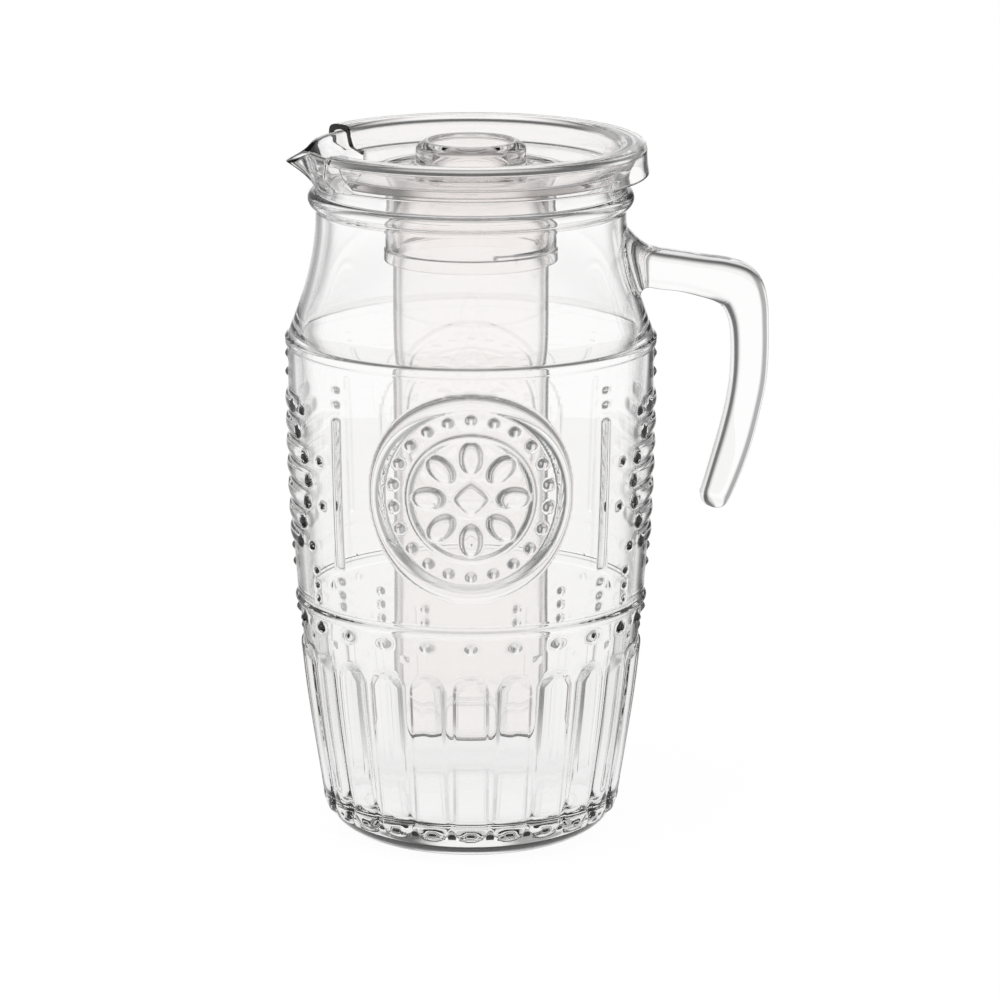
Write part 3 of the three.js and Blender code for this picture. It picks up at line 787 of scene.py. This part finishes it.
def makeTube():
    # lathe: up the outside from the bottom, over the round mouth, down the bore to the floor
    form = tubeForm
    bore = form["radius"] - form["wall"]
    corner = form["corner"]
    innerCorner = corner - form["wall"]
    floor = form["bottom"] + form["wall"]
    levels = np.concatenate([np.linspace(60.0, 216.0, 14), np.arange(217.5, 221.6, 0.3), [230.0]])
    profile = np.vstack([
        [[0.0, form["bottom"]], [10.0, form["bottom"]], [20.0, form["bottom"]]],
        arcRows((form["radius"] - corner, form["bottom"] + corner), corner, corner, -90, 0, 8),
        np.stack([np.full_like(levels, form["radius"]), levels], axis=-1),
        arcRows((form["radius"] - 0.6, form["top"] - 0.6), 0.6, 0.6, 0, 90, 3),
        arcRows((bore + 0.4, form["top"] - 0.4), 0.4, 0.4, 90, 180, 3),
        np.stack([np.full(8, bore), np.linspace(230.0, 50.0, 8)], axis=-1),
        arcRows((bore - innerCorner, form["bottom"] + corner), innerCorner, innerCorner, 0, -90, 7),
        [[14.0, floor], [6.0, floor], [0.0, floor]],
    ])
    return turnedPiece("iceTube", profile, form["columns"], lugRelief, 50.0)


def makeSeal():
    # a ring of rectangular section with rounded corners
    form = sealForm
    middleZ = (form["low"] + form["high"]) / 2
    section = roundedProfile([
        (form["bore"], middleZ, 0.0),
        (form["bore"], form["low"], form["round"]),
        (form["radius"], form["low"], form["round"]),
        (form["radius"], form["high"], form["round"]),
        (form["bore"], form["high"], form["round"]),
        (form["bore"], middleZ, 0.0),
    ])[:-1]
    azimuth = np.linspace(0.0, 2 * np.pi, form["columns"], endpoint=False)
    points = turnedPoints(section[:, :1], section[:, 1:], azimuth).reshape(-1, 3)
    faces = gridFaces(len(section) + 1, form["columns"]) % len(points)  # the last row is the first again
    return meshPiece("tubeSeal", points, [faces], 60.0)


# Materials

pressedGlass = {
    "tint": (0.996, 0.996, 0.995, 1.0), "ior": 1.5, "absorb": (0.86, 0.86, 0.84, 1.0), "density": 4.0,
    "waveScale": 30.0, "waveHeight": 0.00006, "rough": (0.0, 0.02), "shadow": (0.93, 0.93, 0.93, 1.0),
}
clearPlastic = {
    "tint": (0.992, 0.980, 0.976, 1.0), "ior": 1.5, "absorb": (0.90, 0.86, 0.84, 1.0), "density": 9.0,
    "waveScale": 45.0, "waveHeight": 0.00004, "rough": (0.0, 0.03), "shadow": (0.94, 0.93, 0.925, 1.0),
}
clearSilicone = {
    "tint": (0.97, 0.97, 0.965, 1.0), "ior": 1.41, "absorb": (0.85, 0.85, 0.82, 1.0), "density": 60.0,
    "waveScale": 300.0, "waveHeight": 0.00004, "rough": (0.22, 0.34), "shadow": (0.8, 0.8, 0.8, 1.0),
}


def clearMaterial(name, look):
    # clear solid: slow waves in the surface, a little uneven polish, faint colour with depth;
    # lamps shine through
    material = bpy.data.materials.new(name)
    material.use_nodes = True
    nodes, links = material.node_tree.nodes, material.node_tree.links
    nodes.clear()
    output = nodes.new("ShaderNodeOutputMaterial")
    body = nodes.new("ShaderNodeBsdfPrincipled")
    body.inputs["Base Color"].default_value = look["tint"]
    body.inputs["IOR"].default_value = look["ior"]
    body.inputs["Transmission Weight"].default_value = 1.0
    place = nodes.new("ShaderNodeTexCoord")
    waves = nodes.new("ShaderNodeTexNoise")
    waves.inputs["Scale"].default_value = look["waveScale"]
    waves.inputs["Detail"].default_value = 1.5
    links.new(place.outputs["Object"], waves.inputs["Vector"])
    bump = nodes.new("ShaderNodeBump")
    bump.inputs["Strength"].default_value = 1.0
    bump.inputs["Distance"].default_value = look["waveHeight"]
    links.new(waves.outputs["Fac"], bump.inputs["Height"])
    links.new(bump.outputs["Normal"], body.inputs["Normal"])
    polish = nodes.new("ShaderNodeTexNoise")
    polish.inputs["Scale"].default_value = look["waveScale"] * 3.0
    polish.inputs["Detail"].default_value = 3.0
    links.new(place.outputs["Object"], polish.inputs["Vector"])
    polishRange = nodes.new("ShaderNodeMapRange")
    polishRange.inputs["From Min"].default_value = 0.35
    polishRange.inputs["From Max"].default_value = 0.75
    polishRange.inputs["To Min"].default_value = look["rough"][0]
    polishRange.inputs["To Max"].default_value = look["rough"][1]
    links.new(polish.outputs["Fac"], polishRange.inputs["Value"])
    links.new(polishRange.outputs["Result"], body.inputs["Roughness"])
    light = nodes.new("ShaderNodeLightPath")
    through = nodes.new("ShaderNodeBsdfTransparent")
    through.inputs["Color"].default_value = look["shadow"]
    mix = nodes.new("ShaderNodeMixShader")
    links.new(light.outputs["Is Shadow Ray"], mix.inputs["Fac"])
    links.new(body.outputs["BSDF"], mix.inputs[1])
    links.new(through.outputs["BSDF"], mix.inputs[2])
    links.new(mix.outputs["Shader"], output.inputs["Surface"])
    depth = nodes.new("ShaderNodeVolumeAbsorption")
    depth.inputs["Color"].default_value = look["absorb"]
    depth.inputs["Density"].default_value = look["density"]
    links.new(depth.outputs["Volume"], output.inputs["Volume"])
    return material


def dress(piece, material):
    piece.data.materials.clear()
    piece.data.materials.append(material)


# Stage: a white backdrop between darker flags, strip lights at the sides, and a table of mirror gloss and
# painted glow

studio = {
    "floorRadius": 700.0, "floorGlow": 0.93, "floorPaint": (0.96, 0.96, 0.96, 1.0),
    "tableNear": (0.08, 0.18),                    # metres from the axis
    "nearSteeper": 0.24, "tableLight": 0.88, "nearDark": 0.55, "tableDark": 0.12,
    "tableSteep": (0.16, 0.36), "tableGloss": (0.40, 0.66), "tableRough": 0.15,
    "tableColour": (0.94, 0.935, 0.93, 1.0),
    "daylight": 0.72, "darkLeft": 0.4, "darkRight": 0.12, "flagTurn": (-0.1, 0.1),
    "backdropEdge": (8.0, 20.0),                  # degrees from straight behind
    "sideEdge": (24.0, 36.0), "sideLevel": 0.92,
    "stripIn": (84.0, 92.0), "stripOut": (110.0, 118.0), "stripLevel": 0.9,
    "frontEdge": (135.0, 160.0), "frontLevel": 0.25,
    "topEdge": (0.50, 0.75), "topLevel": 0.12,    # heights of a unit direction
}


def mathNode(tree, operation, first, second=None):
    # a Math node fed by sockets or plain numbers
    node = tree.nodes.new("ShaderNodeMath")
    node.operation = operation
    for socket, value in zip(node.inputs, (first, second)):
        if isinstance(value, (int, float)):
            socket.default_value = value
        elif value is not None:
            tree.links.new(value, socket)
    return node.outputs["Value"]


def softRange(tree, value, fromRange, toRange):
    # a Map Range node that eases between two values
    node = tree.nodes.new("ShaderNodeMapRange")
    node.interpolation_type = "SMOOTHSTEP"
    node.inputs["From Min"].default_value, node.inputs["From Max"].default_value = fromRange
    node.inputs["To Min"].default_value, node.inputs["To Max"].default_value = toRange
    tree.links.new(value, node.inputs["Value"])
    return node.outputs["Result"]


def mixNode(tree, share, first, second):
    # two shaders, the second by a share
    node = tree.nodes.new("ShaderNodeMixShader")
    tree.links.new(share, node.inputs["Fac"])
    tree.links.new(first.outputs[0], node.inputs[1])
    tree.links.new(second.outputs[0], node.inputs[2])
    return node


def studioLevel(tree, x, y):
    # brightness round the object by the angle from straight behind it:
    # backdrop, flag, side, strip light, front
    angle = mathNode(tree, "DEGREES", mathNode(tree, "ABSOLUTE", mathNode(tree, "ARCTAN2", x, y)))
    backdrop = softRange(tree, angle, studio["backdropEdge"], (1.0, 0.0))
    flags = softRange(tree, x, studio["flagTurn"], (studio["darkLeft"], studio["darkRight"]))
    level = mathNode(tree, "MAXIMUM", backdrop, flags)
    stripIn = softRange(tree, angle, studio["stripIn"], (0.0, studio["stripLevel"]))
    stripOut = softRange(tree, angle, studio["stripOut"], (studio["stripLevel"], 0.0))
    side = softRange(tree, angle, studio["sideEdge"], (0.0, studio["sideLevel"]))
    front = softRange(tree, angle, studio["frontEdge"], (0.0, studio["frontLevel"]))
    for part in (side, mathNode(tree, "MINIMUM", stripIn, stripOut), front):
        level = mathNode(tree, "MAXIMUM", level, part)
    return level


def raySeen(tree, light, *kinds):
    # one where a ray is of one of the kinds, else zero
    seen = light.outputs[kinds[0]]
    for kind in kinds[1:]:
        seen = mathNode(tree, "MAXIMUM", seen, light.outputs[kind])
    return seen


def makeWorld():
    # the camera sees white; glass sees the studio, under a grey ceiling
    world = bpy.data.worlds.new("studio")
    bpy.context.scene.world = world
    world.use_nodes = True
    tree = world.node_tree
    tree.nodes.clear()
    output = tree.nodes.new("ShaderNodeOutputWorld")
    place = tree.nodes.new("ShaderNodeTexCoord")
    split = tree.nodes.new("ShaderNodeSeparateXYZ")
    tree.links.new(place.outputs["Generated"], split.inputs["Vector"])
    around = studioLevel(tree, split.outputs["X"], split.outputs["Y"])
    ceiling = softRange(tree, split.outputs["Z"], studio["topEdge"], (0.0, 1.0))
    walls = mathNode(tree, "MULTIPLY", around, mathNode(tree, "SUBTRACT", 1.0, ceiling))
    level = mathNode(tree, "ADD", walls, mathNode(tree, "MULTIPLY", ceiling, studio["topLevel"]))
    light = tree.nodes.new("ShaderNodeLightPath")
    byGlass = raySeen(tree, light, "Is Glossy Ray", "Is Transmission Ray")
    byEye = light.outputs["Is Camera Ray"]
    others = mathNode(tree, "SUBTRACT", 1.0, mathNode(tree, "MAXIMUM", byGlass, byEye))
    strength = mathNode(tree, "MAXIMUM", byEye, mathNode(tree, "MULTIPLY", byGlass, level))
    strength = mathNode(tree, "ADD", strength, mathNode(tree, "MULTIPLY", others, studio["daylight"]))
    background = tree.nodes.new("ShaderNodeBackground")
    background.inputs["Color"].default_value = (1.0, 1.0, 1.0, 1.0)
    tree.links.new(strength, background.inputs["Strength"])
    tree.links.new(background.outputs["Background"], output.inputs["Surface"])


def makeFloor():
    # a flat disc that glows white for the camera, under the shadow that its paint receives;
    # to glass it is a table: a mirror at a glance, a painted dark glow at a slant, a painted pale glow seen
    # steeply, and a painted glow that is lighter close to the object, where a painted reflection of the
    # backdrop takes the mirror's place
    columns = 96
    azimuth = np.linspace(0.0, 2 * np.pi, columns, endpoint=False)
    radius = np.array([1.0, 0.6, 0.3, 0.1])[:, None] * studio["floorRadius"]
    grid = turnedPoints(radius, np.full_like(radius, -0.05), azimuth).reshape(-1, 3)
    points = np.vstack([grid, [[0.0, 0.0, -0.05]]])
    count = len(grid)
    faces = [gridFaces(4, columns), fanFaces(np.arange(count - columns, count), count, True)]
    floor = meshPiece("studioFloor", points, faces)
    material = bpy.data.materials.new("whiteFloor")
    material.use_nodes = True
    tree = material.node_tree
    tree.nodes.clear()
    output = tree.nodes.new("ShaderNodeOutputMaterial")
    light = tree.nodes.new("ShaderNodeLightPath")
    byGlass = raySeen(tree, light, "Is Glossy Ray", "Is Transmission Ray")
    glow = tree.nodes.new("ShaderNodeEmission")
    paint = tree.nodes.new("ShaderNodeBsdfDiffuse")
    paint.inputs["Color"].default_value = studio["floorPaint"]
    byEye = mathNode(tree, "MULTIPLY", light.outputs["Is Camera Ray"], studio["floorGlow"])
    white = mixNode(tree, byEye, paint, glow)
    place = tree.nodes.new("ShaderNodeTexCoord")
    length = tree.nodes.new("ShaderNodeVectorMath")
    length.operation = "LENGTH"
    tree.links.new(place.outputs["Object"], length.inputs[0])
    fromAxis = length.outputs["Value"]
    near = softRange(tree, fromAxis, studio["tableNear"], (1.0, 0.0))
    # painted shade on the table for glass: a dark glow, painted lighter close to the object
    dim = tree.nodes.new("ShaderNodeEmission")
    dimLevel = softRange(tree, fromAxis, studio["tableNear"], (studio["nearDark"], studio["tableDark"]))
    tree.links.new(dimLevel, dim.inputs["Strength"])
    # painted reflection: a pale glow standing for the backdrop mirrored close to the object, also the painted
    # pale glow seen steeply
    lit = tree.nodes.new("ShaderNodeEmission")
    lit.inputs["Strength"].default_value = studio["tableLight"]
    mirror = tree.nodes.new("ShaderNodeBsdfGlossy")
    mirror.inputs["Color"].default_value = studio["tableColour"]
    mirror.inputs["Roughness"].default_value = studio["tableRough"]
    glance = tree.nodes.new("ShaderNodeLayerWeight")
    facing = glance.outputs["Facing"]
    raised = mathNode(tree, "ADD", facing, mathNode(tree, "MULTIPLY", near, studio["nearSteeper"]))
    sheen = softRange(tree, raised, studio["tableGloss"], (0.0, 1.0))
    # real mirror gloss at a glance far out, the painted reflection close by, the painted dark glow at a slant
    mirrorAndPaintedGlow = mixNode(tree, sheen, dim, mixNode(tree, near, mirror, lit))
    # painted pale glow where the table is seen steeply
    steep = softRange(tree, facing, studio["tableSteep"], (1.0, 0.0))
    table = mixNode(tree, steep, mirrorAndPaintedGlow, lit)
    tree.links.new(mixNode(tree, byGlass, white, table).outputs["Shader"], output.inputs["Surface"])
    dress(floor, material)


lamps = {
    "overhead": {"place": (-0.5, -0.5, 1.6), "aim": (0.0, 0.0, 0.1), "size": 1.2, "power": 16.0},
    "sideFill": {"place": (1.3, -0.9, 0.9), "aim": (0.0, 0.0, 0.12), "size": 0.8, "power": 6.0},
}


def makeLamps():
    for name, lamp in lamps.items():
        data = bpy.data.lights.new(name, "AREA")
        data.shape = "DISK"
        data.size = lamp["size"]
        data.energy = lamp["power"]
        holder = bpy.data.objects.new(name, data)
        holder.location = lamp["place"]
        aim = Vector(lamp["aim"]) - holder.location
        holder.rotation_euler = aim.to_track_quat("-Z", "Y").to_euler()
        holder.visible_glossy = False
        holder.visible_transmission = False
        bpy.context.scene.collection.objects.link(holder)


def setRender():
    scene = bpy.context.scene
    scene.view_settings.view_transform = "Standard"
    scene.cycles.max_bounces = 32
    scene.cycles.transmission_bounces = 32
    scene.cycles.glossy_bounces = 8
    scene.cycles.transparent_max_bounces = 32


placeCamera(photoView)
makeWorld()
makeFloor()
makeLamps()
setRender()
print("stage set")

glass = clearMaterial("pressedGlass", pressedGlass)
plastic = clearMaterial("clearPlastic", clearPlastic)
silicone = clearMaterial("clearSilicone", clearSilicone)

pieces = (
    (makeJugBody, "jug", "jug_body", "pressed_glass", glass),
    (makeHandle, "jug", "handle", "pressed_glass", glass),
    (makeLid, "lid", "lid", "clear_plastic", plastic),
    (makeTube, "tube", "ice_tube", "clear_plastic", plastic),
    (makeSeal, "lid", "tube_seal", "silicone", silicone),
)
for make, body, node, slot, material in pieces:
    piece = make()
    dress(piece, material)
    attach(piece, body)
    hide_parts(node)
    piece.data.calc_loop_triangles()
    print(piece.name, "made:", len(piece.data.loop_triangles), "triangles")
